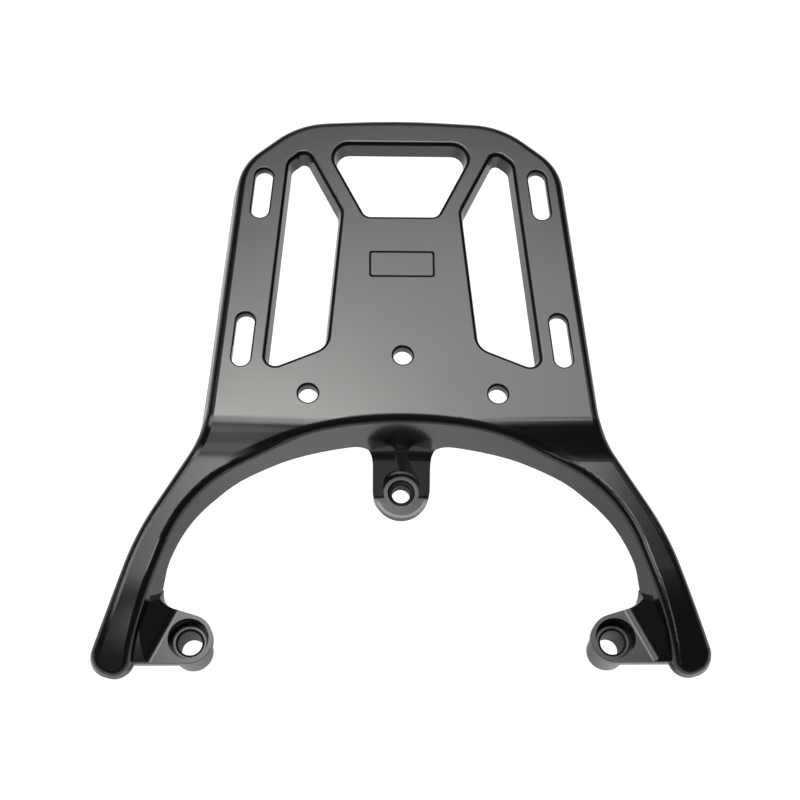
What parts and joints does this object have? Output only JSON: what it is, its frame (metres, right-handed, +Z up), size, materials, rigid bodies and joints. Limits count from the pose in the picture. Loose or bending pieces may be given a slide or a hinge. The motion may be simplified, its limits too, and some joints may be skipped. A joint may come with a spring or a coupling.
{
  "type": "motorcycle luggage rack",
  "caption": "Cast motorcycle luggage rack: a flat carrier plate with open windows and strap slots, two arms round the seat, and drilled bosses that bolt to the frame.",
  "frame": {"origin": "centre of the lower face of the middle bolt boss, where it stands on the motorcycle", "axes": "+Z up out of the plate, +Y to the rear of the motorcycle, +X to the rider's right; mirror-symmetric about X = 0"},
  "size_m": [0.2796, 0.2716, 0.0623],
  "materials": {
    "black_paint": "semi-gloss black powder coat"
  },
  "bodies": {
    "root": {"rack_casting": "black_paint"}
  },
  "joints": []
}
